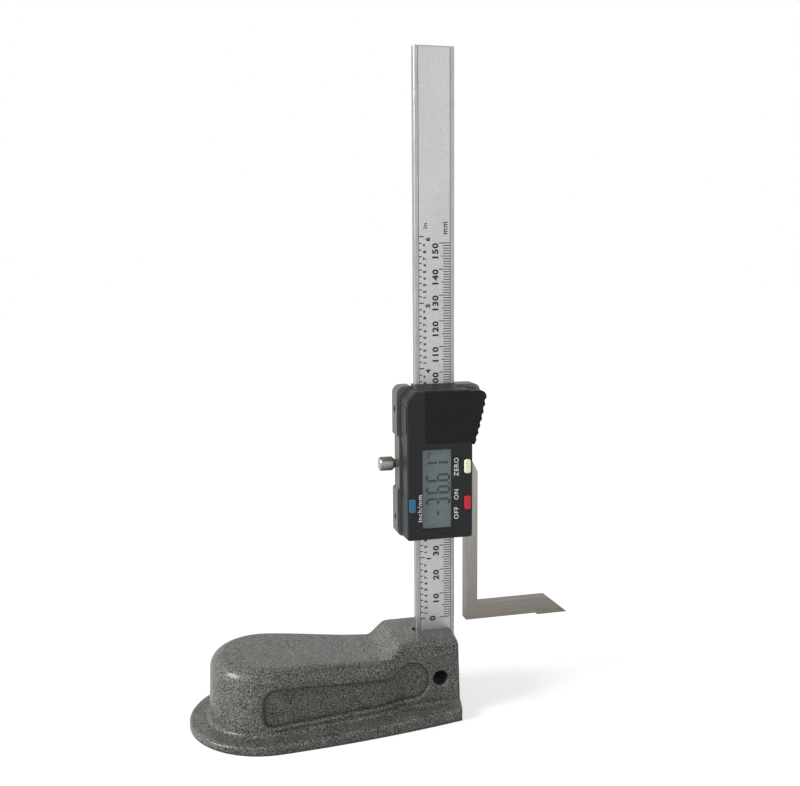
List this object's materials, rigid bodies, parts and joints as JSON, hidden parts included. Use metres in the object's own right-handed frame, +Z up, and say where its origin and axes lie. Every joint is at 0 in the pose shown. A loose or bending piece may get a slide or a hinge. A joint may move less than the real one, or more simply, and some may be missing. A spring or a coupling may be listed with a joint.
{
  "type": "height gauge",
  "caption": "Electronic height gauge: heavy hand-grip base, upright graduated beam and a sliding display head with an angled scriber.",
  "frame": {"origin": "On the surface plate, directly under the centre of the upright beam.", "axes": "+X along the base towards the scriber's tip, -Y towards the face with the scale and display, +Z up along the beam."},
  "size_m": [0.1556, 0.0612, 0.258],
  "materials": {
    "hammertone_paint": "grey-green hammertone enamel on cast iron",
    "stainless_steel": "satin ground, hardened",
    "satin_steel": "bead-blasted satin",
    "ground_steel": "ground",
    "knob_steel": "knurled, plated",
    "blackened_steel": "black oxide",
    "carbide": "ground hard metal",
    "bronze": "rolled strip",
    "contact_brass": "sprung, plated",
    "cell_steel": "nickel-plated can",
    "dome_metal": "snap dome",
    "scale_foil": "printed satin foil",
    "glass_fibre": "laminate with etched pattern",
    "board_laminate": "solder-masked laminate",
    "black_plastic": "moulded",
    "textured_black_plastic": "fine spark texture",
    "clear_window": "clear",
    "lcd_glass": "reflective liquid-crystal panel",
    "zebra_rubber": "silicone",
    "blue_plastic": "moulded",
    "red_plastic": "moulded",
    "yellow_plastic": "moulded"
  },
  "bodies": {
    "stand": {"base_casting": "hammertone_paint", "clamp_screw": "blackened_steel", "beam": "stainless_steel", "encoder_strip": "glass_fibre", "scale_label": "scale_foil"},
    "head": {"slider_frame": "satin_steel", "gib_strip": "bronze", "gib_screws": "blackened_steel", "front_cover": "black_plastic", "lcd_window": "clear_window", "lcd_panel": "lcd_glass", "elastomer_strips": "zebra_rubber", "circuit_board": "board_laminate", "dome_switches": "dome_metal", "battery_cell": "cell_steel", "negative_contact": "contact_brass", "positive_contact": "contact_brass", "cover_screws": "blackened_steel", "scriber": "ground_steel", "carbide_tip": "carbide", "scriber_screws": "blackened_steel"},
    "lock": {"lock_screw": "knob_steel"},
    "inch_mm_key": {"inch_mm_button": "blue_plastic"},
    "on_off_key": {"on_off_button": "red_plastic"},
    "zero_key": {"zero_button": "yellow_plastic"},
    "battery_door": {"battery_cover": "textured_black_plastic"},
    "port_door": {"port_cover": "black_plastic"}
  },
  "joints": [
    {"name": "head_slide", "type": "slide", "parent": "stand", "child": "head", "axis": [0, 0, 1], "range_m": [-0.032, 0.1268]},
    {"name": "lock_turn", "type": "hinge", "parent": "head", "child": "lock", "pos_m": [-0.018, 0.00075, 0.0992], "axis": [-1, 0, 0], "range_deg": [-30, 360]},
    {"name": "inch_mm_press", "type": "slide", "parent": "head", "child": "inch_mm_key", "axis": [0, 1, 0], "range_m": [0, 0.0005], "stiffness_N_per_m": 1500},
    {"name": "on_off_press", "type": "slide", "parent": "head", "child": "on_off_key", "axis": [0, 1, 0], "range_m": [0, 0.0005], "stiffness_N_per_m": 1500},
    {"name": "zero_press", "type": "slide", "parent": "head", "child": "zero_key", "axis": [0, 1, 0], "range_m": [0, 0.0005], "stiffness_N_per_m": 1500},
    {"name": "battery_door_slide", "type": "slide", "parent": "head", "child": "battery_door", "axis": [0, 0, 1], "range_m": [0, 0.02]},
    {"name": "port_door_slide", "type": "slide", "parent": "head", "child": "port_door", "axis": [-1, 0, 0], "range_m": [0, 0.0055]}
  ]
}
